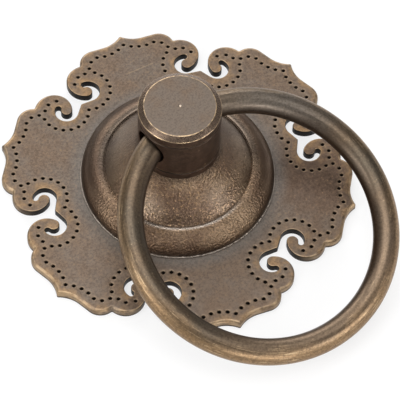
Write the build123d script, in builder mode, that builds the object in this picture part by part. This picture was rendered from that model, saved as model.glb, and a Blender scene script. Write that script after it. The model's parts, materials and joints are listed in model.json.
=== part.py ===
"""Cabinet ring pull: pierced rosette plate, domed boss, turned post and a ring that swings in the post."""

import os
from math import acos, atan2, cos, degrees, hypot, radians, sin, sqrt

from build123d import *

# Back plate: a flat rosette of equal lobes, the first one turned from +X
plate_thickness = 2.0
plate_edge_round = 0.8
lobe_count = 6
lobe_turn = 8.3

# Outline of one lobe, with its axis along +X and its features measured inwards from the tip
tip_radius = 42.0
edge_inset = 2.0
cove_radius = 7.3
shoulder_radius = 3.8
curl_radius = 4.5
curl_inset = 7.9
curl_spread = 3.95
mouth_width = 2.4
hook_radius = 1.35
hook_angle = 167.0
eye_radius = 0.65
eye_angle = 0.0
slot_radius = 2.75
slot_angle = 9.4
tooth_inset = 12.0
corner_round = 0.4
corner_tolerance = 0.0001

# Punched marks on one side of a lobe: a row along its edge, a row round its slot, a few up its curl
mark_diameter = 1.0
mark_depth = 0.7
tip_mark_inset = 3.0
cove_mark_step = (-2.58, 3.45)
shoulder_mark_step = (1.3, -0.8)
edge_row_steps = 4
slot_start_step = (3.24, -4.52)
slot_mark_step = (-2.21, -4.82)
notch_mark_inset = 2.45
slot_row_steps = 7
curl_mark_steps = [(4.6, -3.0), (2.95, -2.0), (1.45, -2.85), (1.85, -0.5), (1.45, 1.35), (-0.25, 2.75)]

# Boss: upright foot, quarter round, narrow rim, step and hollow cone
boss_radius = 22.7
boss_foot = 0.4
boss_round = 4.9
boss_rim_land = 0.6
boss_step = 0.5
boss_height = 12.9
boss_cone_sag = 0.6

# Post, measured from the plate's upper face
post_radius = 9.4
post_height = 28.5
post_bevel_width = 1.3
post_bevel_height = 0.9
line_depth = 0.25
line_width = 0.5
upper_line_gap = 0.1
lower_line_gap = 1.12
centre_mark_diameter = 0.8
centre_mark_depth = 0.3

# Spigot of the post, staked into the back of the plate and tapped for the door screw
spigot_radius = 5.0
stake_radius = 6.2
stake_depth = 1.2
seat_clearance = 0.05
tapped_hole_radius = 2.1
tapped_hole_depth = 14.0

# Ring of round bar and its bearing in the post
ring_radius = 29.5
bar_radius = 3.0
pivot_drop = 7.9
ring_tilt = 17.1
bearing_clearance = 0.2
bearing_edge_round = 0.2


def polar(centre, radius, angle):
    """Point at a radius and an angle, in degrees, from a centre."""
    return (centre[0] + radius * cos(radians(angle)), centre[1] + radius * sin(radians(angle)))


def sight(centre, point):
    """Angle in degrees at which a point is seen from a centre."""
    return degrees(atan2(point[1] - centre[1], point[0] - centre[0]))


def span(start, end):
    """Distance between two points."""
    return hypot(end[0] - start[0], end[1] - start[1])


def beside(centre, step):
    """Point at a step along X and Y from a centre."""
    return (centre[0] + step[0], centre[1] + step[1])


# Centres of the lobe's arcs: the curl keeps its mouth's half width from the line between two lobes,
# the hook lies inside the curl, the eye beside the hook, the slot round both
half_pitch = 180 / lobe_count
tip = (tip_radius, 0)
edge_distance = tip_radius - edge_inset
cove_rise = sqrt(cove_radius**2 - (cove_radius - edge_inset) ** 2)
cove_centre = (edge_distance + cove_radius, cove_rise)
curl_reach = edge_distance - curl_inset
curl_clearance = curl_radius + mouth_width / 2
curl_offset = (curl_reach * sin(radians(half_pitch)) - curl_clearance) / cos(radians(half_pitch))
curl_centre = (curl_reach, curl_offset)
shoulder_centre = (edge_distance - shoulder_radius, curl_offset - curl_spread)
hook_centre = polar(curl_centre, curl_radius - hook_radius, hook_angle)
eye_centre = polar(hook_centre, hook_radius + eye_radius, eye_angle)
slot_centre = polar(eye_centre, slot_radius - eye_radius, slot_angle + 180)
tooth_radius = tip_radius - tooth_inset
tooth = polar((0, 0), tooth_radius, half_pitch)

# Cusp where the shoulder's circle crosses the curl's
cusp_span = span(shoulder_centre, curl_centre)
cusp_cosine = (shoulder_radius**2 + cusp_span**2 - curl_radius**2) / (2 * shoulder_radius * cusp_span)
cusp_angle = sight(shoulder_centre, curl_centre) - degrees(acos(cusp_cosine))
cusp = polar(shoulder_centre, shoulder_radius, cusp_angle)

# Wall from the slot up to the tooth, tangent to the slot's circle
wall_angle = sight(slot_centre, tooth) + degrees(acos(slot_radius / span(slot_centre, tooth)))

# Levels of the stacked pieces above the plate's back face
plate_top = plate_thickness
boss_top = plate_top + boss_height
post_top = plate_top + post_height
pivot_level = post_top - pivot_drop

# The pivot halves the bend of the bar inside the post, so a straight bearing clears the bar at every angle
bore_radius = spigot_radius + seat_clearance
ring_rise = sqrt(ring_radius**2 - post_radius**2)
ring_offset = (ring_radius + ring_rise) / 2
bar_sweep = (ring_radius - ring_rise) / 2 + bar_radius * ring_radius / ring_rise
bearing_radius = bar_sweep + bearing_clearance
bearing_reach = bearing_radius + bearing_edge_round
upper_line_level = pivot_level + bearing_reach + upper_line_gap + line_width / 2
lower_line_level = pivot_level - bearing_reach - lower_line_gap - line_width / 2

# One lobe with its share of the plate's middle, from tooth to tooth
with BuildSketch() as lobe:
    with BuildLine():
        cove_start = sight(cove_centre, tip) % 360
        CenterArc(cove_centre, cove_radius, cove_start, 180 - cove_start)
        Line((edge_distance, cove_rise), (edge_distance, shoulder_centre[1]))
        CenterArc(shoulder_centre, shoulder_radius, 0, cusp_angle)
        curl_start = sight(curl_centre, cusp)
        CenterArc(curl_centre, curl_radius, curl_start, hook_angle - curl_start)
        CenterArc(hook_centre, hook_radius, hook_angle, 360 + eye_angle - hook_angle)
        CenterArc(eye_centre, eye_radius, eye_angle + 180, slot_angle - eye_angle - 180)
        CenterArc(slot_centre, slot_radius, slot_angle, wall_angle - 360 - slot_angle)
        Line(polar(slot_centre, slot_radius, wall_angle), tooth)
        mirror(about=Plane.XZ)
        Polyline(tooth, (0, 0), (tooth[0], -tooth[1]))
    make_face()

# Places of the punched marks of one lobe
tip_mark = (tip_radius - tip_mark_inset, 0)
cove_mark = beside((edge_distance, 0), cove_mark_step)
shoulder_mark = beside(shoulder_centre, shoulder_mark_step)
slot_start_mark = beside(slot_centre, slot_start_step)
slot_mark = beside(slot_centre, slot_mark_step)
notch_mark = polar((0, 0), tooth_radius - notch_mark_inset, half_pitch)
curl_marks = [beside(curl_centre, step) for step in curl_mark_steps]
with BuildLine() as edge_row:
    ThreePointArc(tip_mark, cove_mark, shoulder_mark)
with BuildLine() as slot_row:
    ThreePointArc(slot_start_mark, slot_mark, notch_mark)
row_marks = [edge_row.line @ ((step + 1) / edge_row_steps) for step in range(edge_row_steps)]
row_marks += [slot_row.line @ (step / slot_row_steps) for step in range(slot_row_steps)]
side_marks = [(mark.X, mark.Y) for mark in row_marks] + curl_marks
lobe_marks = [tip_mark, notch_mark] + side_marks + [(x, -y) for x, y in side_marks]

# Pierced plate with rounded upper edges, and a countersink at the back for the staked spigot
with BuildPart() as back_plate:
    with BuildSketch() as rosette:
        with PolarLocations(0, lobe_count, lobe_turn):
            add(lobe.sketch)
        corner_reaches = (tip_radius, tooth_radius, hypot(*cusp))
        corners = [
            vertex
            for vertex in rosette.vertices()
            if any(abs(hypot(vertex.X, vertex.Y) - reach) < corner_tolerance for reach in corner_reaches)
        ]
        fillet(corners, corner_round)
    extrude(amount=plate_thickness)
    fillet(back_plate.faces().sort_by(Axis.Z)[-1].outer_wire().edges(), plate_edge_round)
    with BuildSketch(Plane.XZ):
        with BuildLine():
            Polyline(
                (0, 0),
                (stake_radius + seat_clearance, 0),
                (bore_radius, stake_depth),
                (bore_radius, plate_top),
                (0, plate_top),
                close=True,
            )
        make_face()
    revolve(axis=Axis.Z, mode=Mode.SUBTRACT)
    with PolarLocations(0, lobe_count, lobe_turn):
        with Locations(*[(x, y, plate_top) for x, y in lobe_marks]):
            Cone(
                0,
                mark_diameter / 2,
                mark_depth,
                align=(Align.CENTER, Align.CENTER, Align.MAX),
                mode=Mode.SUBTRACT,
            )

# Domed collar that stands on the plate and carries the post
with BuildPart() as boss:
    with BuildSketch(Plane.XZ):
        with BuildLine():
            round_centre = (boss_radius - boss_round, plate_top + boss_foot)
            rim = (round_centre[0] - boss_rim_land, round_centre[1] + boss_round)
            step_foot = (rim[0], rim[1] - boss_step)
            cone_top = (post_radius, boss_top)
            Polyline(cone_top, (bore_radius, boss_top), (bore_radius, plate_top), (boss_radius, plate_top))
            Line((boss_radius, plate_top), (boss_radius, round_centre[1]))
            CenterArc(round_centre, boss_round, 0, 90)
            Polyline((round_centre[0], rim[1]), rim, step_foot)
            SagittaArc(step_foot, cone_top, boss_cone_sag)
        make_face()
    revolve(axis=Axis.Z)

# Turned post: staked spigot, bevelled top with a centre mark, bearing hole, then two fine turned lines
with BuildPart() as post:
    with BuildSketch(Plane.XZ):
        with BuildLine():
            bevel_foot = post_top - post_bevel_height
            Polyline(
                (0, 0),
                (stake_radius, 0),
                (spigot_radius, stake_depth),
                (spigot_radius, boss_top),
                (post_radius, boss_top),
                (post_radius, bevel_foot),
                (post_radius - post_bevel_width, post_top),
                (centre_mark_diameter / 2, post_top),
                (0, post_top - centre_mark_depth),
                close=True,
            )
        make_face()
    revolve(axis=Axis.Z)
    Cylinder(
        tapped_hole_radius,
        tapped_hole_depth,
        align=(Align.CENTER, Align.CENTER, Align.MIN),
        mode=Mode.SUBTRACT,
    )
    with Locations((0, 0, pivot_level)):
        Cylinder(bearing_radius, 2 * post_radius, rotation=(0, 90, 0), mode=Mode.SUBTRACT)
    bearing_wall = post.faces(Select.LAST).filter_by(GeomType.CYLINDER)
    fillet(bearing_wall.edges().filter_by(GeomType.LINE, reverse=True), bearing_edge_round)
    with BuildSketch(Plane.XZ):
        for level in (lower_line_level, upper_line_level):
            with BuildLine():
                Polyline(
                    (post_radius, level - line_width / 2),
                    (post_radius - line_depth, level),
                    (post_radius, level + line_width / 2),
                    close=True,
                )
            make_face()
    revolve(axis=Axis.Z, mode=Mode.SUBTRACT)

# Closed ring of round bar, hanging forward from the pivot
ring_centre = polar((0, pivot_level), ring_offset, 180 + ring_tilt)
ring_normal = (0, -sin(radians(ring_tilt)), cos(radians(ring_tilt)))
with BuildPart(Plane(origin=(0, *ring_centre), x_dir=(1, 0, 0), z_dir=ring_normal)) as ring:
    Torus(ring_radius, bar_radius)

os.makedirs("parts", exist_ok=True)
back_plate.part.label = "back_plate"
boss.part.label = "boss"
post.part.label = "post"
ring.part.label = "ring"
export_step(back_plate.part, "parts/back_plate.step")
export_step(boss.part, "parts/boss.step")
export_step(post.part, "parts/post.step")
export_step(ring.part, "parts/ring.step")
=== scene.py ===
"""Aged bronze ring pull for a cabinet: pierced rosette plate, domed boss, turned post and swinging ring."""

import json
import math

import bmesh
import bpy
import numpy as np
from mathutils import Matrix, Vector
from mathutils.geometry import delaunay_2d_cdt


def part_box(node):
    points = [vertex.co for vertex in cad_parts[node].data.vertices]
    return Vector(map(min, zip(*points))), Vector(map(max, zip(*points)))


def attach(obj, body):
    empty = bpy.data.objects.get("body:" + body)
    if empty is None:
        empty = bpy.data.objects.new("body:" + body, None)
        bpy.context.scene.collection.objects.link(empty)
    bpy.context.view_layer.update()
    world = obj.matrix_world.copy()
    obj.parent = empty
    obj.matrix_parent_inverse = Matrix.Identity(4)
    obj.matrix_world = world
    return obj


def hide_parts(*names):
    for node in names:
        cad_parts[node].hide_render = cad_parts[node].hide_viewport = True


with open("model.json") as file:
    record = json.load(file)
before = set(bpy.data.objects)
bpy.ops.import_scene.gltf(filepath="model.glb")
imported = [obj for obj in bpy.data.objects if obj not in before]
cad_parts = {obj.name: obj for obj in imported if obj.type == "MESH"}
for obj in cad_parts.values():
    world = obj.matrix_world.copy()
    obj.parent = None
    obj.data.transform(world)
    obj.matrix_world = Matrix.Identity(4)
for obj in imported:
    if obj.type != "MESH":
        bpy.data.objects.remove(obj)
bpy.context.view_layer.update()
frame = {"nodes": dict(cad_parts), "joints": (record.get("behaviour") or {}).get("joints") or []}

# Shapes are worked out in millimetres and written to the meshes in metres
MM = 0.001
TURN = 2 * math.pi

# Meshes: smallest step of an outline, in millimetres, and widest seam and sliver to close, in metres
same_point = 1e-6
seam_gap = 2e-7
sliver_length = 1e-7
crease_angle = math.radians(40)
round_sides = 240
bore_sides = 64
ease_steps = 6

# Levels and radii of the solids
plate_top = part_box("back_plate")[1].z / MM
boss_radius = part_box("boss")[1].x / MM
boss_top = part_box("boss")[1].z / MM
post_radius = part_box("post")[1].x / MM
post_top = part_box("post")[1].z / MM
ring_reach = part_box("ring")[1].x / MM
pivot_level = frame["joints"][0]["pos_m"][2] / MM

# Rosette: equal lobes, the first one turned from +X, with its features measured inwards from the tip
lobe_count = 6
lobe_turn = 8.3
tip_radius = 42.0
edge_inset = 2.0
cove_radius = 7.3
shoulder_radius = 3.8
curl_radius = 4.5
curl_inset = 7.9
curl_spread = 3.95
mouth_width = 2.4
hook_radius = 1.35
hook_angle = 167.0
eye_radius = 0.65
eye_angle = 0.0
slot_radius = 2.75
slot_angle = 9.4
tooth_inset = 12.0
corner_round = 0.4
edge_round = 0.8
slot_edge_round = 0.25
back_chamfer = 0.06
round_fade = 120.0
outline_step = 7.0
outline_spacing = 0.3
outline_fill = 8
edge_round_steps = 8
edge_border = 0.06

# Points spread over the plate's face, kept clear of its outline and marks, and a little way in under the boss
fill_pitch = 0.9
fill_rim_gap = 1.25
fill_mark_gap = 0.3
fill_under_boss = 1.0
fill_tolerance = 1e-7

# Punched marks: a rolled lip runs into a conical pit
mark_depth = 0.7
mark_radii = np.array([0.7, 0.52, 0.42, 0.25, 0.0])
mark_drops = np.array([0.0, 0.02, 0.12, 0.42, 0.66])
mark_sides = 12
mark_level_gap = 0.01
mark_rim_gap = 1.0

# Staked spigot of the post in the back of the plate
spigot_radius = 5.0
stake_radius = 6.2
stake_depth = 1.2
seat_clearance = 0.05
bore_radius = spigot_radius + seat_clearance

# Boss: a narrow lip at its foot, a quarter round, a rim with a step inside it and a hollow cone
boss_foot = 0.4
boss_lip = 0.22
boss_round = 4.9
boss_rim_land = 0.6
boss_rim_crown = 1.6
boss_step = 0.5
boss_cone_sag = 0.6
boss_dome_steps = 28
boss_rim_steps = 9
boss_cone_steps = 40
boss_spacing = 0.5

# Post: bevelled top with a centre mark, two turned lines, tapped hole and bearing hole
bevel_width = 1.3
bevel_height = 0.9
line_depth = 0.25
line_width = 0.5
upper_line_level = 27.28
lower_line_level = 16.9
centre_mark_radius = 0.4
centre_mark_depth = 0.3
tapped_radius = 2.1
tapped_depth = 14.0
thread_pitch = 0.8
thread_depth = 0.36
thread_fade = 0.8
thread_end = 1.0
thread_sides = 48
thread_levels = 141
bearing_clearance = 0.2
bearing_round = 0.2
post_spacing = 0.4
post_wall_rows = 40
mouth_half_sides = 22
mouth_steps = 9
mouth_crowding = 1.5
bearing_steps = 8

# Ring of round bar. The pivot halves the bend of the bar inside the post.
bar_radius = 3.0
ring_tilt = 17.1
ring_steps = 360
bar_sides = 56
ring_radius = ring_reach - bar_radius
ring_rise = math.sqrt(ring_radius**2 - post_radius**2)
pivot_offset = (ring_radius + ring_rise) / 2


def polar(centre, radius, angle):
    """Points at a radius and at angles, in degrees, from a centre."""
    turn = np.radians(angle)
    return np.stack([centre[0] + radius * np.cos(turn), centre[1] + radius * np.sin(turn)], -1)


def sight(centre, point):
    """Angle in degrees at which a point is seen from a centre."""
    return math.degrees(math.atan2(point[1] - centre[1], point[0] - centre[0]))


def crossing(centre, radius, other, other_radius):
    """Where two circles cross: along the line of centres by the cosine rule, then off it to the right."""
    step = np.subtract(other, centre)
    span = np.hypot(*step)
    along = (radius**2 + span**2 - other_radius**2) / (2 * span)
    off = math.sqrt(radius**2 - along**2)
    return np.add(centre, (along * step + off * np.array([step[1], -step[0]])) / span)


def half_lobe_arcs():
    """Arcs of half a lobe from its tip to the tooth between two lobes, each one tangent to the next or to the
    straight line that joins them: centre, radius, first and last angle, whether the metal is inside the arc,
    and how far the upper edge is rounded over at its two ends."""
    half_pitch = 180 / lobe_count
    edge = tip_radius - edge_inset
    cove = (edge + cove_radius, math.sqrt(cove_radius**2 - (cove_radius - edge_inset) ** 2))
    tip = (cove[0] - math.sqrt((cove_radius + corner_round) ** 2 - cove[1] ** 2), 0)
    curl_reach = edge - curl_inset
    pitch_sine, pitch_cosine = math.sin(math.radians(half_pitch)), math.cos(math.radians(half_pitch))
    curl = (curl_reach, (curl_reach * pitch_sine - curl_radius - mouth_width / 2) / pitch_cosine)
    shoulder = (edge - shoulder_radius, curl[1] - curl_spread)
    cusp = crossing(shoulder, shoulder_radius + corner_round, curl, curl_radius + corner_round)
    hook = polar(curl, curl_radius - hook_radius, hook_angle)
    eye = polar(hook, hook_radius + eye_radius, eye_angle)
    slot = polar(eye, slot_radius - eye_radius, slot_angle + 180)
    tooth_point = polar((0, 0), tip_radius - tooth_inset, half_pitch)
    slot_span = math.dist(slot, tooth_point)
    wall_angle = sight(slot, tooth_point) + math.degrees(math.acos(slot_radius / slot_span))
    tooth_slope = math.radians(half_pitch + 90 - wall_angle)
    tooth = polar((0, 0), tip_radius - tooth_inset - corner_round / math.sin(abs(tooth_slope)), half_pitch)
    cusp_start, cusp_end = sight(cusp, shoulder) % 360, sight(cusp, curl) % 360
    curl_start = sight(curl, cusp)
    curl_fade = curl_start + round_fade
    broad, fine = edge_round, slot_edge_round
    return [
        (tip, corner_round, 0, sight(tip, cove), True, broad, broad),
        (cove, cove_radius, sight(cove, tip) % 360, 180, False, broad, broad),
        (shoulder, shoulder_radius, 0, sight(shoulder, cusp), True, broad, broad),
        (cusp, corner_round, cusp_start, cusp_end, False, broad, broad),
        (curl, curl_radius, curl_start, curl_fade, True, broad, fine),
        (curl, curl_radius, curl_fade, hook_angle, True, fine, fine),
        (hook, hook_radius, hook_angle, 360 + eye_angle, True, fine, fine),
        (eye, eye_radius, eye_angle + 180, slot_angle, False, fine, fine),
        (slot, slot_radius, slot_angle, wall_angle - 360, False, fine, fine),
        (tooth, corner_round, wall_angle - 180, half_pitch, True, fine, fine),
    ]


def half_lobe_outline():
    """Points along the half lobe's arcs, the unit vectors into the metal there, how far each may be carried
    inwards (to the arc's centre inside a bulge, and to the lines of symmetry through the tip and the tooth),
    and the rounding of the edge there, which eases from one end of an arc to the other."""
    points, inwards, reaches, rounds = [], [], [], []
    for centre, radius, first, last, bulge, round_first, round_last in half_lobe_arcs():
        length = radius * math.radians(abs(last - first))
        count = 1 + math.ceil(max(abs(last - first) / outline_step, length / outline_spacing))
        angles = np.linspace(first, last, count)
        points.append(polar(centre, radius, angles))
        inwards.append(polar((0, 0), -1 if bulge else 1, angles))
        reaches.append(np.full(count, radius if bulge else np.inf))
        share = np.linspace(0, 1, count)
        rounds.append(round_first + (round_last - round_first) * share**2 * (3 - 2 * share))
    points, inwards, reaches, rounds = (np.concatenate(part) for part in (points, inwards, reaches, rounds))
    apart = np.append(True, np.hypot(*np.diff(points, axis=0).T) > same_point)
    points, inwards, reaches, rounds = points[apart], inwards[apart], reaches[apart], rounds[apart]
    pitch = math.radians(180 / lobe_count)
    for line in (np.array([0, 1]), np.array([math.sin(pitch), -math.cos(pitch)])):
        towards, gap = -(inwards @ line), np.abs(points @ line)
        limit = np.where(towards > same_point, gap / np.maximum(towards, same_point), np.inf)
        reaches = np.minimum(reaches, np.where(gap > same_point, limit, np.inf))
    return points, inwards, reaches, rounds


def turned(vectors, angle):
    """Vectors turned about Z by an angle in degrees."""
    cosine, sine = math.cos(math.radians(angle)), math.sin(math.radians(angle))
    return vectors @ np.array([[cosine, sine], [-sine, cosine]])


def rosette_outline():
    """The whole outline anticlockwise: the half lobe mirrored and followed by itself, then copied round."""
    points, inwards, reaches, rounds = half_lobe_outline()
    mirror = np.array([1, -1])
    lobe = [np.concatenate([(part * mirror)[:0:-1], part[:-1]]) for part in (points, inwards)]
    angles = [lobe_turn + 360 / lobe_count * lobe_index for lobe_index in range(lobe_count)]
    points, inwards = (np.concatenate([turned(part, angle) for angle in angles]) for part in lobe)
    both = [np.tile(np.concatenate([part[:0:-1], part[:-1]]), lobe_count) for part in (reaches, rounds)]
    return points, inwards, *both


def folded(points):
    """Places in the rosette folded onto half a lobe by its symmetry."""
    pitch = TURN / lobe_count
    angle = np.arctan2(points[:, 1], points[:, 0]) - math.radians(lobe_turn)
    angle = np.abs((angle + pitch / 2) % pitch - pitch / 2)
    radius = np.hypot(points[:, 0], points[:, 1])
    return np.stack([radius * np.cos(angle), radius * np.sin(angle)], 1)


def nearest(points, targets):
    """Distance of each point from the nearest of the targets."""
    return np.sqrt(((points[:, None] - targets[None]) ** 2).sum(-1).min(1))


def rim_distance(points):
    """Distance of places in the rosette from its outline, whose runs are filled in with equal steps."""
    outline = half_lobe_outline()[0]
    share = np.linspace(0, 1, outline_fill)[None, :, None]
    between = outline[:-1, None] + np.diff(outline, axis=0)[:, None] * share
    return nearest(folded(points), between.reshape(-1, 2))


def flat_inside(points, outline):
    """Whether places lie inside a closed outline: a ray to +X crosses it an odd number of times."""
    a, b = outline, np.roll(outline, -1, axis=0)
    x, y = points[:, :1], points[:, 1:]
    spans = (a[:, 1] > y) != (b[:, 1] > y)
    rise = np.where(b[:, 1] == a[:, 1], 1, b[:, 1] - a[:, 1])
    crossed = spans & (x < a[:, 0] + (y - a[:, 1]) * (b[:, 0] - a[:, 0]) / rise)
    return (crossed.sum(1) % 2).astype(bool)


def circle(sides):
    """Points of the unit circle in equal steps."""
    angle = np.linspace(0, TURN, sides, endpoint=False)
    return np.stack([np.cos(angle), np.sin(angle)], 1)


def grid_quads(rows, columns, closed=True):
    """Quads of a grid whose points run row by row. In a closed one the last column is joined to the first."""
    row, column = np.meshgrid(np.arange(rows - 1), np.arange(columns - (not closed)), indexing="ij")
    right = (column + 1) % columns
    here, ahead = row * columns, (row + 1) * columns
    return np.stack([here + column, here + right, ahead + right, ahead + column], -1).reshape(-1, 4)


def lathe(profile, sides):
    """Surface of revolution: each radius and height of the profile carried round Z in equal steps."""
    angle = np.linspace(0, TURN, sides, endpoint=False)
    radius, height = profile[:, :1], profile[:, 1:]
    points = np.stack([radius * np.cos(angle), radius * np.sin(angle), height + 0 * angle], -1)
    return points.reshape(-1, 3), grid_quads(len(profile), sides)


def spaced(profile):
    """The profile without repeated points."""
    return profile[np.append(True, np.hypot(*np.diff(profile, axis=0).T) > same_point)]


def eased(corners):
    """Profile through corners of radius, height and easing: each one is eased by a parabola that leaves and
    meets its two sides at the easing's distance from the corner."""
    corners = np.asarray(corners, float)
    corners, easing = corners[:, :2], corners[:, 2:]
    before = np.diff(corners, axis=0, prepend=corners[:1])
    after = np.diff(corners, axis=0, append=corners[-1:])
    start = corners - before / np.maximum(np.hypot(*before.T), same_point)[:, None] * easing
    end = corners + after / np.maximum(np.hypot(*after.T), same_point)[:, None] * easing
    t = np.linspace(0, 1, ease_steps)[None, :, None]
    curve = (1 - t) ** 2 * start[:, None] + 2 * t * (1 - t) * corners[:, None] + t**2 * end[:, None]
    return spaced(curve.reshape(-1, 2))


def filled(profile, step):
    """The profile with points added along its runs, no further apart than a step."""
    runs = np.diff(profile, axis=0)
    counts = np.maximum(1, np.ceil(np.hypot(*runs.T) / step)).astype(int)
    first = np.repeat(np.arange(len(runs)), counts)
    share = (np.arange(counts.sum()) - np.repeat(np.cumsum(counts) - counts, counts)) / counts[first]
    return np.concatenate([profile[first] + runs[first] * share[:, None], profile[-1:]])


def joined(parts, faces):
    """The points of several parts in one array, and their faces counted on from part to part."""
    starts = np.cumsum([0] + [len(part) for part in parts])
    return np.concatenate(parts), [part + start for part, start in zip(faces, starts)]


def add_piece(name, node, body, material, points, faces, fields=None):
    """Makes a closed mesh of points in millimetres, with its seams and poles merged, to stand for a node."""
    mesh = bpy.data.meshes.new(name)
    mesh.from_pydata((points * MM).tolist(), [], [face for part in faces for face in part.tolist()])
    for label, values in (fields or {}).items():
        kind, field = ("FLOAT", "value") if values.ndim == 1 else ("FLOAT_VECTOR", "vector")
        attribute = mesh.attributes.new(label, kind, "POINT")
        attribute.data.foreach_set(field, values.astype(np.float32).ravel())
    work = bmesh.new()
    work.from_mesh(mesh)
    bmesh.ops.remove_doubles(work, verts=work.verts, dist=seam_gap)
    bmesh.ops.dissolve_degenerate(work, edges=work.edges, dist=sliver_length)
    bmesh.ops.recalc_face_normals(work, faces=work.faces)
    work.to_mesh(mesh)
    work.free()
    mesh.shade_smooth()
    mesh.set_sharp_from_angle(angle=crease_angle)
    mesh.materials.append(material)
    piece = bpy.data.objects.new(name, mesh)
    bpy.context.scene.collection.objects.link(piece)
    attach(piece, body)
    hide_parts(node)
    return piece


def flat_fill(outer, holes, inner):
    """Triangles over a flat area: inside the outer loop, outside the holes, through the inner points. Gives
    the number of each used point among the loops and inner points in turn, and the triangles between them."""
    loops = [outer, *holes]
    ends = np.cumsum([len(loop) for loop in loops])
    rows = [list(range(end - len(loop), end)) for loop, end in zip(loops, ends)]
    flat = [Vector(point) for point in np.concatenate([*loops, inner]).tolist()]
    _, _, faces, sources, _, owners = delaunay_2d_cdt(flat, [], rows, 0, fill_tolerance, True)
    metal = np.array([len(owner) == 1 and owner[0] == 0 for owner in owners])
    return np.array([source[0] for source in sources]), np.array(faces)[metal]


def plate_marks():
    """Places of the punched marks, which are the deepest points of the solid's conical pits."""
    mesh = frame["nodes"]["back_plate"].data
    points = np.empty(len(mesh.vertices) * 3)
    mesh.vertices.foreach_get("co", points)
    points = points.reshape(-1, 3) / MM
    points = points[np.abs(points[:, 2] - plate_top + mark_depth) < mark_level_gap, :2]
    points = points[(np.hypot(*points.T) > boss_radius) & (rim_distance(points) > mark_rim_gap)]
    return np.unique(np.round(points, 2), axis=0)


def plate_mesh():
    """Rosette plate: a wall and a quarter round carried along the outline, a flat face filled round the
    marks, the marks as small turned pits, and a flat back with the countersink of the staked spigot."""
    outline, inwards, reaches, rounds = rosette_outline()
    arc = np.radians(np.linspace(0, 90, edge_round_steps))[:, None]
    chamfer = np.full((1, len(outline)), back_chamfer)
    insets = np.concatenate([chamfer, 0 * chamfer, rounds * (1 - np.cos(arc)), rounds[None] + edge_border])
    inset = np.minimum(insets, reaches)
    ring_xy = outline + inwards * inset[:, :, None]
    round_part = rounds - np.minimum(inset, rounds)
    ring_z = plate_top - rounds + np.sqrt(rounds**2 - round_part**2)
    ring_z[:2] = np.array([[0], [back_chamfer]])
    slope = round_part / rounds
    slope[0] = 0
    rings = np.dstack([ring_xy, ring_z]).reshape(-1, 3)
    levels, around = ring_z.shape

    free = reaches > insets[-1]
    border = free | np.roll(free, 1) | np.roll(free, -1)
    centres = plate_marks()
    mark_circle, bore_circle = circle(mark_sides), circle(bore_sides)
    lips = centres[:, None] + mark_radii[0] * mark_circle

    row_pitch = fill_pitch * math.sqrt(0.75)
    columns, rows = math.ceil(tip_radius / fill_pitch), math.ceil(tip_radius / row_pitch)
    column, row = np.meshgrid(np.arange(-columns, columns + 1), np.arange(-rows, rows + 1))
    lattice = np.stack([(column + row % 2 / 2) * fill_pitch, row * row_pitch], -1).reshape(-1, 2)
    reach = np.hypot(*lattice.T)
    lattice = lattice[(reach < tip_radius) & (reach > boss_radius - fill_under_boss)]
    lattice = lattice[flat_inside(lattice, outline)]
    lattice = lattice[rim_distance(lattice) > fill_rim_gap]
    lattice = lattice[nearest(lattice, centres) > mark_radii[0] + fill_mark_gap]

    holes = [bore_radius * bore_circle, *lips]
    used, top_faces = flat_fill(ring_xy[-1][border], holes, lattice)
    top_xy = np.concatenate([ring_xy[-1][border], *holes, lattice])
    top_z = np.full(len(top_xy), plate_top)
    top_z[: border.sum()] = ring_z[-1][border]
    top = np.column_stack([top_xy, top_z])[used]

    stake_circle = (stake_radius + seat_clearance) * bore_circle
    back_used, back_faces = flat_fill(ring_xy[0], [stake_circle], np.empty((0, 2)))
    back_xy = np.concatenate([ring_xy[0], stake_circle])[back_used]
    back = np.column_stack([back_xy, np.zeros(len(back_xy))])

    sink_profile = [(stake_radius + seat_clearance, 0), (bore_radius, stake_depth), (bore_radius, plate_top)]
    sink, sink_faces = lathe(np.array(sink_profile), bore_sides)

    pits = centres[:, None, None] + mark_radii[:, None, None] * mark_circle
    pit_z = np.broadcast_to((plate_top - mark_drops)[:, None], pits.shape[:3])
    pits = np.concatenate([pits, pit_z[..., None]], -1).reshape(-1, 3)
    pit_size = len(mark_radii) * mark_sides
    pit_faces = grid_quads(len(mark_radii), mark_sides) + np.arange(len(centres))[:, None, None] * pit_size

    parts = [rings, top, back, sink, pits]
    faces = [grid_quads(levels, around), top_faces, back_faces, sink_faces, pit_faces.reshape(-1, 4)]
    points, faces = joined(parts, faces)

    # Fields for the finish: distance from rim and marks, slope of the rounded edge, share of a slot's edge
    clear_of_rim = 3.0
    others = len(back) + len(sink) + len(pits)
    cut = np.broadcast_to((edge_round - rounds) / (edge_round - slot_edge_round), ring_z.shape)
    fields = {
        "rim_distance": np.concatenate(
            [inset.ravel(), rim_distance(top[:, :2]), np.full(others, clear_of_rim)]
        ),
        "mark_distance": nearest(points[:, :2], centres),
        "rim_slope": np.concatenate([slope.ravel(), np.zeros(len(top) + others)]),
        "slot_edge": np.concatenate([cut.ravel(), np.ones(len(top)), np.zeros(others)]),
    }
    return points, faces, fields


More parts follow.
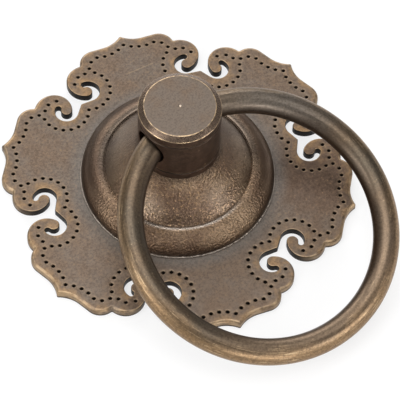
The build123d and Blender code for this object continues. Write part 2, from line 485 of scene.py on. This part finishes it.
def boss_mesh():
    """Boss: a profile of lip, quarter round, rim, step and hollow cone, turned about Z."""
    foot = plate_top + boss_foot
    round_foot = boss_radius - boss_round
    turn = np.radians(np.linspace(0, 90, boss_dome_steps))
    dome_width = boss_round - boss_lip
    dome = np.stack([round_foot + dome_width * np.cos(turn), foot + boss_round * np.sin(turn)], 1)
    rim_top = foot + boss_round
    step_foot = np.array([round_foot - boss_rim_land, rim_top - boss_step])
    share = np.linspace(0, 1, boss_cone_steps)[:, None]
    chord = np.array([post_radius, boss_top]) - step_foot
    square = np.array([-chord[1], chord[0]]) / np.hypot(*chord)
    cone = step_foot + chord * share + square * boss_cone_sag * 4 * share * (1 - share)
    lip = [(boss_radius, plate_top, 0.05), (boss_radius, foot, 0.12)]
    lower = eased([(bore_radius, plate_top, 0), *lip, (*dome[0], 0)])
    crown = np.arcsin(np.linspace(0, boss_rim_land / boss_rim_crown, boss_rim_steps))
    drop = boss_rim_crown * (1 - np.cos(crown))
    land = np.stack([round_foot - boss_rim_crown * np.sin(crown), rim_top - drop], 1)
    upper = eased([(*land[-2], 0), (*land[-1], 0.07), (*step_foot, 0.28), (*cone[2], 0)])
    closing = np.array([(bore_radius, boss_top), (bore_radius, plate_top)])
    profile = spaced(np.concatenate([lower, dome[1:], land[1:-1], upper[1:], cone[3:], closing]))
    points, quads = lathe(filled(profile, boss_spacing), round_sides)
    return points, [quads]


def post_mesh():
    """Post: a turned profile whose side is opened by the bearing hole, with a threaded hole in its foot."""
    sides, rows, block = round_sides, post_wall_rows, mouth_half_sides
    side_low, side_high = lower_line_level + line_width / 2, upper_line_level - line_width / 2
    valley = post_radius - line_depth

    # Corners below and above the side wall: radius, height and easing
    under = [
        (stake_radius, 0, 0),
        (spigot_radius, stake_depth, 0.05),
        (spigot_radius, boss_top, 0),
        (post_radius, boss_top, 0.1),
        (post_radius, lower_line_level - line_width / 2, 0.06),
        (valley, lower_line_level, 0.04),
        (post_radius, side_low, 0),
    ]
    over = [
        (post_radius, side_high, 0),
        (valley, upper_line_level, 0.04),
        (post_radius, upper_line_level + line_width / 2, 0.06),
        (post_radius, post_top - bevel_height, 0.14),
        (post_radius - bevel_width, post_top, 0.16),
        (centre_mark_radius, post_top, 0.08),
        (0, post_top - centre_mark_depth, 0),
    ]
    lower, upper = filled(eased(under), post_spacing), filled(eased(over), post_spacing)

    # Bearing hole: half the bar's bend inside the post, the bar's slanting half width and a clearance
    bearing = (ring_radius - ring_rise) / 2 + bar_radius * ring_radius / ring_rise + bearing_clearance

    # Side wall as a grid of angle and height, between the two blocks that hold the hole's mouths
    angle_step = TURN / sides
    heights = np.linspace(side_low, side_high, rows + 1)
    open_angles = np.arange(block, sides // 2 - block + 1) * angle_step
    walls = []
    for half_turn in (0, math.pi):
        angle, height = np.meshgrid(open_angles + half_turn, heights)
        walls.append(np.stack([post_radius * np.cos(angle), post_radius * np.sin(angle), height], -1))

    # Border of a block, anticlockwise, and the mouth's rounded edge under the same angle from the hole's axis
    across = np.arange(-block, block + 1) * angle_step
    border_angle = np.concatenate(
        [across[:-1], np.full(rows, across[-1]), across[:0:-1], np.full(rows, across[0])]
    )
    border_height = np.concatenate(
        [np.full(2 * block, side_low), heights[:-1], np.full(2 * block, side_high), heights[:0:-1]]
    )
    around = np.arctan2(border_height - pivot_level, border_angle * post_radius)
    mouth = bearing + bearing_round
    mouth_angle = np.arcsin(mouth * np.cos(around) / post_radius)
    mouth_height = pivot_level + mouth * np.sin(around)
    share = np.linspace(0, 1, mouth_steps)[:, None] ** mouth_crowding
    angle = mouth_angle + (border_angle - mouth_angle) * share
    height = mouth_height + (border_height - mouth_height) * share
    face = np.stack([post_radius * np.cos(angle), post_radius * np.sin(angle), height], -1)[::-1]

    # The mouth is eased from the wall to the bore, and the bore runs on to the middle of the post
    depth_at = np.sqrt(post_radius**2 - (bearing * np.cos(around)) ** 2)
    bore_y, bore_z = bearing * np.cos(around), pivot_level + bearing * np.sin(around)
    corner = np.stack([depth_at, bore_y, bore_z], -1)
    inner = np.stack([depth_at - bearing_round, bore_y, bore_z], -1)
    t = np.linspace(0, 1, ease_steps)[1:, None, None]
    ease = (1 - t) ** 2 * face[-1] + 2 * t * (1 - t) * corner + t**2 * inner
    run = np.linspace(1, 0, bearing_steps)[1:, None, None]
    bore = inner * np.where(np.arange(3) == 0, run, 1)
    patch = np.concatenate([face, ease, bore])
    flipped = patch * np.array([-1, 1, 1])

    # Thread in the fixing hole: a triangle wave of height and angle, faded out at the mouth and at the end
    turn = np.linspace(0, TURN, thread_sides, endpoint=False)
    level = np.linspace(0, tapped_depth, thread_levels)[:, None]
    wave = np.abs(2 * ((level / thread_pitch + turn / TURN) % 1) - 1)
    ends = np.clip((tapped_depth - thread_end - level) / thread_fade, 0, 1)
    radius = tapped_radius + thread_depth * wave * (np.clip(level / thread_fade, 0, 1) * ends)
    thread = np.stack([radius * np.cos(turn), radius * np.sin(turn), level + 0 * turn], -1)
    drill_end = np.stack([0 * turn, 0 * turn, 0 * turn + tapped_depth], -1)
    hole = np.concatenate([thread, drill_end[None]])

    low_points, low_quads = lathe(lower, sides)
    high_points, high_quads = lathe(upper, sides)
    foot_rim, foot_hole = low_points[:sides, :2], thread[0, :, :2]
    used, foot_faces = flat_fill(foot_rim, [foot_hole], np.empty((0, 2)))
    foot = np.column_stack([np.concatenate([foot_rim, foot_hole])[used], np.zeros(len(used))])
    grids = [*walls, patch, flipped, hole]
    closed = [False, False, True, True, True]
    parts = [low_points, high_points, *(grid.reshape(-1, 3) for grid in grids), foot]
    quads = [grid_quads(*grid.shape[:2], loop) for grid, loop in zip(grids, closed)]
    return joined(parts, [low_quads, high_quads, *quads, foot_faces])


def ring_mesh():
    """Ring: a circle carried round a larger circle that is tilted about X, with the angles kept as sines and
    cosines so that a pattern can run along the bar."""
    tilt = math.radians(ring_tilt)
    along = np.linspace(0, TURN, ring_steps, endpoint=False)[:, None]
    around = np.linspace(0, TURN, bar_sides, endpoint=False)[None]
    reach = ring_radius + bar_radius * np.cos(around)
    side = reach * np.cos(along)
    ahead = reach * np.sin(along)
    lift = bar_radius * np.sin(around) + 0 * along
    y = -(pivot_offset - ahead) * math.cos(tilt) - lift * math.sin(tilt)
    z = pivot_level - (pivot_offset - ahead) * math.sin(tilt) + lift * math.cos(tilt)
    points = np.stack([side, y, z], -1)
    section = np.stack(np.broadcast_arrays(np.cos(around), np.sin(around), np.cos(along)), -1)
    quads = grid_quads(ring_steps + 1, bar_sides) % (ring_steps * bar_sides)
    fields = {"bar_section": section.reshape(-1, 3), "bar_along": (np.sin(along) + 0 * around).ravel()}
    return points.reshape(-1, 3), [quads], fields


class Finish:
    """A material in the making: each call adds a node or a few, and gives their output."""

    def __init__(self, name):
        """Starts a material, with places measured in millimetres."""
        self.material = bpy.data.materials.new(name)
        self.material.use_nodes = True
        self.tree = self.material.node_tree
        self.shader = self.tree.nodes["Principled BSDF"]
        place = self.add("ShaderNodeTexCoord").outputs["Object"]
        scaled = self.add("ShaderNodeVectorMath", {0: place, "Scale": 1 / MM}, operation="SCALE")
        self.place = scaled.outputs["Vector"]

    def add(self, kind, inputs=None, **settings):
        """A node with its settings, and with each named input set to a value or joined to an output."""
        node = self.tree.nodes.new(kind)
        for label, value in settings.items():
            setattr(node, label, value)
        for label, value in (inputs or {}).items():
            self.join(node.inputs[label], value)
        return node

    def join(self, socket, value):
        """Joins an output to a socket, or sets the socket to a value."""
        if isinstance(value, bpy.types.NodeSocket):
            self.tree.links.new(value, socket)
        else:
            socket.default_value = value

    def noise(self, size, detail=3.0, rough=0.5, offset=None):
        """Noise whose features are about a size across, in millimetres."""
        vector = self.place
        if offset:
            vector = self.add("ShaderNodeVectorMath", {0: vector, 1: offset}).outputs["Vector"]
        inputs = {"Vector": vector, "Scale": 1 / size, "Detail": detail, "Roughness": rough}
        return self.add("ShaderNodeTexNoise", inputs).outputs["Fac"]

    def math(self, operation, a, b=0.0):
        """Sum, difference or another operation of two values."""
        return self.add("ShaderNodeMath", {0: a, 1: b}, operation=operation).outputs[0]

    def times(self, a, b):
        """Product of two values."""
        return self.math("MULTIPLY", a, b)

    def distance(self, place, point):
        """Distance between two places."""
        return self.add("ShaderNodeVectorMath", {0: place, 1: point}, operation="DISTANCE").outputs["Value"]

    def ramp(self, value, low, high, to_low=0.0, to_high=1.0):
        """A value eased from one range to another, and held at its ends."""
        inputs = {"Value": value, "From Min": low, "From Max": high, "To Min": to_low, "To Max": to_high}
        return self.add("ShaderNodeMapRange", inputs, interpolation_type="SMOOTHSTEP").outputs[0]

    def blend(self, share, a, b):
        """Colour a turned into colour b by a share."""
        node = self.add("ShaderNodeMix", {"Factor": share}, data_type="RGBA")
        self.join(node.inputs[6], a)
        self.join(node.inputs[7], b)
        return node.outputs[2]

    def bump(self, height, depth, strength, normal=None):
        """A bump whose height, from 0 to 1, is a depth in millimetres."""
        inputs = {"Height": height, "Distance": depth * MM, "Strength": strength}
        node = self.add("ShaderNodeBump", inputs)
        if normal:
            self.join(node.inputs["Normal"], normal)
        return node.outputs["Normal"]

    def attribute(self, label, output="Fac"):
        """A field that was written to the mesh."""
        return self.add("ShaderNodeAttribute", attribute_name=label).outputs[output]

    def turned_place(self):
        """Distance from the Z axis and height, in millimetres, as a vector."""
        split = self.add("ShaderNodeSeparateXYZ", {0: self.place}).outputs
        flat = self.add("ShaderNodeCombineXYZ", {"X": split["X"], "Y": split["Y"]}).outputs[0]
        radius = self.add("ShaderNodeVectorMath", {0: flat}, operation="LENGTH").outputs["Value"]
        return self.add("ShaderNodeCombineXYZ", {"X": radius, "Y": split["Z"]}).outputs[0], radius, split["Z"]

    def scratch(self, ends, width, share):
        """A share that fades out across a straight line between two places: the distance from a place to the
        nearest point of the line, which is its foot on the line held between the ends."""
        start, end = Vector(ends[0]), Vector(ends[1])
        along = end - start
        inputs = {0: self.place, 1: start}
        step = self.add("ShaderNodeVectorMath", inputs, operation="SUBTRACT").outputs["Vector"]
        inputs = {0: step, 1: along / along.length_squared}
        part = self.add("ShaderNodeVectorMath", inputs, operation="DOT_PRODUCT").outputs["Value"]
        held = self.math("MINIMUM", self.math("MAXIMUM", part, 0.0), 1.0)
        inputs = {0: along, "Scale": held}
        foot = self.add("ShaderNodeVectorMath", inputs, operation="SCALE").outputs["Vector"]
        return self.ramp(self.distance(step, foot), 0, width, share, 0)

    def finish(self, colour, roughness, normal):
        """The finished metal, with its colour, roughness and bump joined to the shader."""
        self.join(self.shader.inputs["Base Color"], colour)
        self.join(self.shader.inputs["Roughness"], roughness)
        self.join(self.shader.inputs["Normal"], normal)
        self.shader.inputs["Metallic"].default_value = 1.0
        return self.material


# Bronze tones, as linear colours
umber = (0.197, 0.144, 0.106, 1)
grey_umber = (0.191, 0.154, 0.125, 1)
halo_grey = (0.172, 0.156, 0.141, 1)
russet = (0.160, 0.102, 0.067, 1)
# Tone of painted shade on the plate and on the boss's cone
shade_brown = (0.125, 0.080, 0.056, 1)
cast_brown = (0.265, 0.184, 0.120, 1)
side_brown = (0.142, 0.092, 0.067, 1)
bevel_brown = (0.215, 0.146, 0.102, 1)
dark_russet = (0.078, 0.045, 0.030, 1)
golden_run_brown = (0.36, 0.255, 0.162, 1)
olive = (0.127, 0.102, 0.075, 1)
olive_brown = (0.154, 0.111, 0.074, 1)
# Grey of the painted sheen on the ring
sheen_olive_grey = (0.215, 0.186, 0.158, 1)
handled_brown = (0.240, 0.172, 0.117, 1)
# Brown of the painted light on the ring's outer side
lit_edge_brown = (0.215, 0.140, 0.074, 1)
dark_umber = (0.060, 0.042, 0.031, 1)
# Black of the dirt in pits and turned lines, also used for painted shade on walls and in the boss's step
soot_and_shade = (0.010, 0.008, 0.007, 1)
# Gold of rubbed wear and grain, also used for painted glints on the boss's grains
rubbed_and_glint_gold = (0.41, 0.255, 0.125, 1)
pale_gold = (0.62, 0.45, 0.275, 1)
# Pale of the painted highlight in the post's centre mark
centre_highlight = (0.85, 0.72, 0.58, 1)
# Grey of painted highlights and reflections on the boss
highlight_grey = (0.60, 0.53, 0.46, 1)

# Middle of the painted shade on the plate, right of the boss, where the ring's shadow and reflection fall
ring_shade_place = (25.0, -20.0, plate_top)

# Faint scratch across one lobe
scratch_ends = ((9.5, 29.2, plate_top), (16.3, 27.6, plate_top))
scratch_width = 0.22
scratch_share = 0.22

# Middle of the painted shade on the far side of the boss's dome
shade_place = (-5.0, 19.5, 6.0)

# Middle of the lit front of the boss, where the rim's painted highlight runs
lit_front_place = (-9.8, -14.5, 7.2)

# Places on the boss's cone that the ring has rubbed smooth, with a painted reflection on them,
# and how far each one reaches
rubbed_and_sheen_places = (((-0.5, -14.2, 9.2), 6.0), ((-13.4, -5.2, 9.0), 5.0))

# Middle of the painted shade on the cone above the rim's painted highlight,
# and of the golden run of the dome below it
cone_shade_place = (-9.3, -12.0, 8.2)
golden_run_place = (-2.0, -20.6, 6.2)


def plate_finish():
    """Aged bronze sheet: mottled umber, greyer round the boss, rubbed golden along the rim and black in its
    pits, with a painted highlight on its rounded edge, painted shade blackening the walls of its outline and
    slots, and a patch of painted shade right of the boss."""
    f = Finish("plate_bronze")
    rim, mark, slope = f.attribute("rim_distance"), f.attribute("mark_distance"), f.attribute("rim_slope")
    radius, height = f.turned_place()[1:]
    cloud = f.noise(9.0, 4.0, 0.55)
    grain = f.noise(0.55, 4.0, 0.75)
    colour = f.blend(f.ramp(cloud, 0.38, 0.66), umber, grey_umber)
    colour = f.blend(f.ramp(f.noise(1.8, 4.0, 0.65), 0.4, 0.62, 0.18, 0), colour, russet)
    # Painted shade: a darker patch right of the boss where the ring's shadow and reflection fall
    ring_shade = f.distance(f.place, ring_shade_place)
    ring_shade = f.math("ADD", ring_shade, f.times(cloud, 8.0))
    colour = f.blend(f.ramp(ring_shade, 8.0, 22.0, 0.78, 0), colour, shade_brown)
    halo = f.ramp(f.math("ADD", radius, f.times(cloud, 5.0)), 25.0, 29.5, 0.85, 0)
    upper = f.ramp(height, 0.05, 0.5)
    colour = f.blend(f.times(halo, upper), colour, halo_grey)
    rubbed = f.times(f.ramp(rim, 0.2, 2.8, 1, 0), f.ramp(f.noise(3.0, 3.0), 0.36, 0.66))
    rubbed = f.times(f.times(rubbed, upper), 0.6)
    colour = f.blend(rubbed, colour, rubbed_and_glint_gold)
    colour = f.blend(f.scratch(scratch_ends, scratch_width, scratch_share), colour, pale_gold)
    colour = f.blend(f.ramp(grain, 0.34, 0.58, 0.47, 0), colour, dark_umber)
    colour = f.blend(f.ramp(grain, 0.55, 0.74, 0, 0.4), colour, rubbed_and_glint_gold)
    colour = f.blend(f.ramp(mark, 0.5, 0.85, 0.15, 0), colour, pale_gold)
    colour = f.blend(f.ramp(mark, 0.33, 0.54, 1, 0), colour, soot_and_shade)
    # Pale gold in patches along the top of the rounded edge: partly worn metal, partly a painted highlight
    edge = f.times(f.ramp(slope, 0.02, 0.35), f.ramp(f.noise(2.2, 3.0), 0.35, 0.62, 0.1, 0.55))
    colour = f.blend(edge, colour, pale_gold)
    # Painted shade: the steep walls of the outline black, most low down and on the slots' walls
    wall = f.math("MAXIMUM", f.ramp(height, 0.25, 0.8, 0.95, 0.2), f.attribute("slot_edge"))
    colour = f.blend(f.times(f.ramp(slope, 0.5, 0.9), wall), colour, soot_and_shade)
    rough = f.ramp(grain, 0.3, 0.7, 0.38, 0.54)
    normal = f.bump(grain, 0.05, 0.6)
    return f.finish(colour, rough, normal)


def boss_finish():
    """Cast bronze: a brown skin of small grains with golden tops, partly painted glints that are strongest at
    the lit front; painted shade at the foot, round the post, in the step, on part of the cone's front and on
    the far side of the dome; a painted highlight along the front of the rim and on the foot's lip; painted
    reflections on the cone and on the far side; a darker dome with a lighter golden run; polished along the
    rim and towards the foot of the cone."""
    f = Finish("cast_bronze")
    place, radius, height = f.turned_place()
    cloud = f.noise(8.0, 4.0, 0.55)
    stipple = f.noise(0.52, 2.0, 0.5)
    foot = plate_top + boss_foot
    rim_radius = boss_radius - boss_round - boss_rim_land
    cone = f.ramp(radius, rim_radius - 0.5, rim_radius, 1, 0)
    colour = f.blend(f.ramp(cloud, 0.35, 0.66), russet, cast_brown)
    # Painted shade on the cone's front above the rim
    cone_shade = f.distance(f.place, cone_shade_place)
    colour = f.blend(f.times(f.ramp(cone_shade, 2.0, 8.0, 0.9, 0), cone), colour, shade_brown)
    lit_front_gap = f.distance(f.place, lit_front_place)
    # Painted glints: the grains' golden tops and dark pits, and the step's shade, strongest at the lit front
    crisp = f.ramp(lit_front_gap, 11.0, 29.0, 1, 0.22)
    # Painted reflection: the far side of the cone and of the dome's crown greyer
    greyed = f.ramp(radius, rim_radius + 0.5, rim_radius + 2.0, 0.5, 0.2)
    colour = f.blend(f.times(f.ramp(lit_front_gap, 18.0, 30.0), greyed), colour, halo_grey)
    colour = f.blend(f.times(f.ramp(stipple, 0.34, 0.52, 0.35, 0), crisp), colour, dark_umber)
    colour = f.blend(f.times(f.ramp(stipple, 0.54, 0.7, 0, 0.4), crisp), colour, rubbed_and_glint_gold)
    dome = f.ramp(radius, rim_radius + 0.3, rim_radius + 2.5)
    # The dome darker all round except for a lighter golden run at its front
    golden_run = f.distance(f.place, golden_run_place)
    golden_run = f.ramp(golden_run, 2.0, 10.5, 1, 0)
    colour = f.blend(f.times(dome, f.ramp(golden_run, 0, 1, 0.44, 0)), colour, dark_russet)
    colour = f.blend(f.times(dome, f.ramp(golden_run, 0, 1, 0, 0.3)), colour, golden_run_brown)
    # Painted shade on the cone round the foot of the post
    colour = f.blend(f.ramp(radius, post_radius, post_radius + 1.3, 0.65, 0), colour, dark_umber)
    # Painted shade low on the dome, towards the boss's foot
    colour = f.blend(f.ramp(height, foot + 0.1, foot + 2.2, 0.8, 0), colour, dark_umber)
    # Painted highlight on the lip at the boss's foot
    colour = f.blend(f.ramp(height, foot - 0.02, foot + 0.12, 0.55, 0), colour, highlight_grey)
    rim = (rim_radius, foot + boss_round, 0)
    gap = f.distance(place, rim)
    # Painted highlight along the rim's inner edge at the front, where it is also polished
    polish_and_highlight = f.times(f.ramp(gap, 0.5, 1.4, 1, 0), f.ramp(lit_front_gap, 4.0, 16.0, 1, 0))
    polish_and_highlight = f.times(polish_and_highlight, f.ramp(radius, rim_radius - 0.1, rim_radius))
    colour = f.blend(f.times(polish_and_highlight, 0.9), colour, highlight_grey)
    # Painted shade on the far side of the dome
    shade = f.distance(f.place, shade_place)
    shade = f.times(f.ramp(shade, 4.0, 18.0, 0.7, 0), dome)
    colour = f.blend(shade, colour, dark_umber)
    # Painted shade in the step's groove and on its wall, strongest at the front
    groove = (rim_radius, rim[1] - boss_step, 0)
    gap = f.distance(place, groove)
    colour = f.blend(f.times(f.ramp(gap, 0.06, 0.3, 0.3, 0), crisp), colour, soot_and_shade)
    wall = f.math("ABSOLUTE", f.math("SUBTRACT", radius, rim_radius + 0.02))
    colour = f.blend(f.times(f.ramp(wall, 0.04, 0.12, 0.45, 0), crisp), colour, dark_umber)
    # Painted reflection: grey patches on the cone, which are also kept smooth
    sheen = 0.0
    for middle, reach in rubbed_and_sheen_places:
        gap = f.distance(f.place, middle)
        sheen = f.math("MAXIMUM", f.ramp(gap, 0, reach, 0.36, 0), sheen)
    sheen = f.times(sheen, cone)
    colour = f.blend(f.times(sheen, 0.3), colour, highlight_grey)
    sleek = f.math("MAXIMUM", polish_and_highlight, f.ramp(radius, 12.5, rim_radius - 0.5, 0, 0.5))
    sleek = f.times(sleek, f.ramp(radius, rim_radius + 1.0, rim_radius + 2.0, 1, 0))
    rough = f.math("SUBTRACT", f.ramp(stipple, 0.3, 0.7, 0.42, 0.28), f.times(sleek, 0.1))
    strength = f.times(f.ramp(f.math("MAXIMUM", sleek, sheen), 0, 0.9, 0.85, 0), crisp)
    normal = f.bump(stipple, 0.52, strength)
    return f.finish(colour, rough, normal)


def post_finish():
    """Turned bronze: fine grain, dark side and turned lines, bevel edges rubbed to a pale gold line, and
    painted highlights above each turned line and in the centre mark.
    """
    f = Finish("turned_bronze")
    place, radius, height = f.turned_place()
    cloud = f.noise(5.0, 4.0, 0.55)
    grain = f.noise(0.5, 4.0, 0.75)
    colour = f.blend(f.ramp(cloud, 0.25, 0.55), umber, grey_umber)
    bevel_foot = post_top - bevel_height
    side = f.ramp(height, bevel_foot - 0.1, bevel_foot + 0.05, 1, 0)
    bevel = f.times(f.ramp(height, post_top - 0.06, post_top - 0.02, 1, 0), f.math("SUBTRACT", 1.0, side))
    colour = f.blend(f.times(bevel, 0.7), colour, bevel_brown)
    colour = f.blend(side, colour, side_brown)
    for edge in ((post_radius, bevel_foot, 0), (post_radius - bevel_width, post_top, 0)):
        gap = f.distance(place, edge)
        rubbed = f.times(f.ramp(gap, 0.06, 0.18, 1, 0), f.ramp(f.noise(1.2, 3.0), 0.35, 0.6, 0.2, 1))
        colour = f.blend(rubbed, colour, pale_gold)
    for level in (lower_line_level, upper_line_level):
        line = (post_radius - line_depth, level, 0)
        gap = f.distance(place, line)
        dark = f.times(f.ramp(gap, 0.25, 0.45, 0.95, 0), f.ramp(f.noise(2.0, 3.0), 0.5, 0.7, 1, 0.7))
        colour = f.blend(dark, colour, soot_and_shade)
        # Painted highlight: a pale line just above each turned line
        lip = f.math("ABSOLUTE", f.math("SUBTRACT", height, level + 0.45))
        colour = f.blend(f.times(f.ramp(lip, 0.05, 0.16, 0.3, 0), side), colour, pale_gold)
    mottle = f.ramp(f.noise(1.6, 4.0, 0.65), 0.4, 0.62, 0.5, 0)
    colour = f.blend(f.times(mottle, side), colour, dark_umber)
    specks = f.ramp(f.noise(0.8, 2.0), 0.7, 0.78, 0, 0.6)
    colour = f.blend(f.times(specks, side), colour, pale_gold)
    coarse = f.math("SUBTRACT", 1.0, f.times(bevel, 0.7))
    colour = f.blend(f.times(f.ramp(grain, 0.34, 0.58, 0.42, 0), coarse), colour, dark_umber)
    colour = f.blend(f.ramp(grain, 0.58, 0.75, 0, 0.12), colour, rubbed_and_glint_gold)
    # Painted highlight filling the centre mark
    colour = f.blend(f.ramp(radius, 0.18, 0.42, 0.9, 0), colour, centre_highlight)
    rough = f.math("SUBTRACT", f.ramp(grain, 0.3, 0.7, 0.38, 0.52), f.times(bevel, 0.18))
    normal = f.bump(grain, 0.04, f.times(coarse, 0.5))
    return f.finish(colour, rough, normal)


def ring_finish():
    """Drawn bronze bar: olive brown with golden scratches along its length and patches where hands rub it,
    with a painted sheen on its upper right run, painted light on its outer side and painted shade on its
    inner side.
    """
    f = Finish("ring_bronze")
    section = f.attribute("bar_section", "Vector")
    along = f.attribute("bar_along")
    parts = f.add("ShaderNodeSeparateXYZ", {0: section}).outputs
    streaks = []
    length_share = 0.4
    inputs = {0: section, 1: (1, 1, length_share)}
    drawn = f.add("ShaderNodeVectorMath", inputs, operation="MULTIPLY").outputs["Vector"]
    for scale in (8.0, 14.0):
        inputs = {"Vector": drawn, "W": f.times(along, length_share), "Scale": scale, "Detail": 3.0}
        streaks.append(f.add("ShaderNodeTexNoise", inputs, noise_dimensions="4D").outputs["Fac"])
    broad, fine = streaks
    cloud = f.noise(9.0, 4.0, 0.55)
    grain = f.noise(0.5, 4.0, 0.7)
    colour = f.blend(f.ramp(cloud, 0.35, 0.65), olive, olive_brown)
    # Painted sheen: greyer on the upper right run near the post
    far = f.times(f.ramp(parts["Z"], 0.1, 0.8), f.ramp(along, 0.1, 0.6, 0, 0.7))
    colour = f.blend(far, colour, sheen_olive_grey)
    held = f.math("ADD", f.times(along, -0.4), f.times(parts["X"], 0.9))
    held = f.math("ADD", held, f.times(f.noise(11.0, 3.0, offset=(3, 3, 60)), 1.6))
    colour = f.blend(f.ramp(along, -0.2, -0.9, 0, 0.85), colour, handled_brown)
    # Painted light: a warm golden brown on the outer side of the bar
    outer = f.math("ADD", parts["X"], f.times(f.noise(6.0, 3.0, offset=(30, 8, 2)), 0.8))
    colour = f.blend(f.ramp(outer, 0.7, 1.3, 0, 0.55), colour, lit_edge_brown)
    colour = f.blend(f.ramp(held, 0.9, 1.7, 0, 0.4), colour, rubbed_and_glint_gold)
    colour = f.blend(f.ramp(broad, 0.34, 0.48, 0.15, 0), colour, dark_umber)
    colour = f.blend(f.times(f.ramp(fine, 0.57, 0.66, 0, 0.7), f.ramp(held, 0.6, 1.4)), colour, pale_gold)
    colour = f.blend(f.ramp(grain, 0.34, 0.58, 0.5, 0), colour, dark_umber)
    colour = f.blend(f.ramp(grain, 0.62, 0.74, 0, 0.6), colour, pale_gold)
    # Painted shade on the inner side of the bar
    colour = f.blend(f.ramp(parts["X"], -0.3, -0.9, 0, 0.55), colour, dark_umber)
    rough = f.ramp(broad, 0.3, 0.7, 0.33, 0.44)
    normal = f.bump(broad, 0.04, 0.3, f.bump(grain, 0.03, 0.4))
    return f.finish(colour, rough, normal)


plate = add_piece("plate_rosette", "back_plate", "base", plate_finish(), *plate_mesh())
boss = add_piece("boss_dome", "boss", "base", boss_finish(), *boss_mesh())
post = add_piece("post_turned", "post", "base", post_finish(), *post_mesh())
ring = add_piece("ring_bar", "ring", "ring", ring_finish(), *ring_mesh())

# Camera at the photograph's viewing angle: where it stands, in degrees and millimetres, and how it is turned
view_azimuth = math.radians(-43.92)
view_elevation = math.radians(58.27)
view_roll = math.radians(2.779)
view_distance = 536.25
view_target = Vector((-0.737, -8.625, 2.0))
focal_length = 208.92
back = Vector(
    (
        math.sin(view_azimuth) * math.cos(view_elevation),
        -math.cos(view_azimuth) * math.cos(view_elevation),
        math.sin(view_elevation),
    )
)
right = Vector((0, 0, 1)).cross(back).normalized()
up = back.cross(right)
away = Vector((-back.x, -back.y, 0)).normalized()
camera = bpy.data.objects.new("camera", bpy.data.cameras.new("camera"))
camera.data.lens = focal_length
camera.data.sensor_width = 36
camera.data.clip_start = 0.01
camera.data.clip_end = 10
axes = Matrix((right, up, back)).transposed() @ Matrix.Rotation(view_roll, 3, "Z")
camera.matrix_world = Matrix.Translation((view_target + back * view_distance) * MM) @ axes.to_4x4()
bpy.context.scene.collection.objects.link(camera)
bpy.context.scene.camera = camera

# Pale floor just below the plate that keeps the object's shadow: paper with a share of glow where it is seen
floor_reach = 4.0
floor_drop = 0.0001
floor_pale = (0.95, 0.95, 0.95, 1)
floor_glow = 0.7
floor_mesh = bpy.data.meshes.new("floor")
floor_corners = np.array([(-1, -1), (1, -1), (1, 1), (-1, 1)]) * floor_reach
floor_mesh.from_pydata([(x, y, -floor_drop) for x, y in floor_corners.tolist()], [], [(0, 1, 2, 3)])
floor = bpy.data.objects.new("floor", floor_mesh)
bpy.context.scene.collection.objects.link(floor)
floor_material = bpy.data.materials.new("floor_white")
floor_material.use_nodes = True
nodes, links = floor_material.node_tree.nodes, floor_material.node_tree.links
nodes.remove(nodes["Principled BSDF"])
paper = nodes.new("ShaderNodeBsdfDiffuse")
paper.inputs["Color"].default_value = floor_pale
glow = nodes.new("ShaderNodeEmission")
rays = nodes.new("ShaderNodeLightPath").outputs
seen = rays["Is Camera Ray"]
for ray in ("Is Glossy Ray", "Is Transmission Ray"):
    both = nodes.new("ShaderNodeMath")
    both.operation = "ADD"
    links.new(seen, both.inputs[0])
    links.new(rays[ray], both.inputs[1])
    seen = both.outputs[0]
share = nodes.new("ShaderNodeMath")
share.operation = "MULTIPLY"
share.use_clamp = True
share.inputs[1].default_value = floor_glow
links.new(seen, share.inputs[0])
mixed = nodes.new("ShaderNodeMixShader")
for socket, source in zip(mixed.inputs, (share, paper, glow)):
    links.new(source.outputs[0], socket)
links.new(mixed.outputs[0], nodes["Material Output"].inputs["Surface"])
floor_mesh.materials.append(floor_material)

# Soft studio light
studio_strength = 0.35
lamp_aim = Vector((0, 0, 0.01))
world = bpy.data.worlds.new("studio")
world.use_nodes = True
surround = world.node_tree.nodes["Background"].inputs
surround["Color"].default_value = (1, 1, 1, 1)
surround["Strength"].default_value = studio_strength
bpy.context.scene.world = world


def softbox(name, side, depth, height, size, power):
    """A rectangular lamp that faces the object from a place, in metres, to the camera's right, away from the
    camera and up, with its width and height and its power in watts."""
    lamp = bpy.data.lights.new(name, "AREA")
    lamp.shape = "RECTANGLE"
    lamp.size, lamp.size_y = size
    lamp.energy = power
    holder = bpy.data.objects.new(name, lamp)
    flat_right = Vector((right.x, right.y, 0)).normalized()
    place = flat_right * side + away * depth + Vector((0, 0, height))
    facing = (lamp_aim - place).to_track_quat("-Z", "Y")
    holder.matrix_world = Matrix.Translation(place) @ facing.to_matrix().to_4x4()
    bpy.context.scene.collection.objects.link(holder)


softbox("lamp_top", -0.1, 0.0, 1.0, (0.9, 0.9), 6.3)
softbox("lamp_left", -0.96, -0.72, 0.58, (0.65, 0.9), 7.6)
softbox("lamp_right", 1.1, -0.55, 0.58, (0.65, 0.5), 5.2)
softbox("lamp_front", 0.35, -1.0, 0.18, (0.6, 0.28), 3.3)
softbox("lamp_back", -0.28, 1.06, 0.6, (1.2, 0.5), 7.2)

bpy.context.scene.view_settings.view_transform = "Standard"
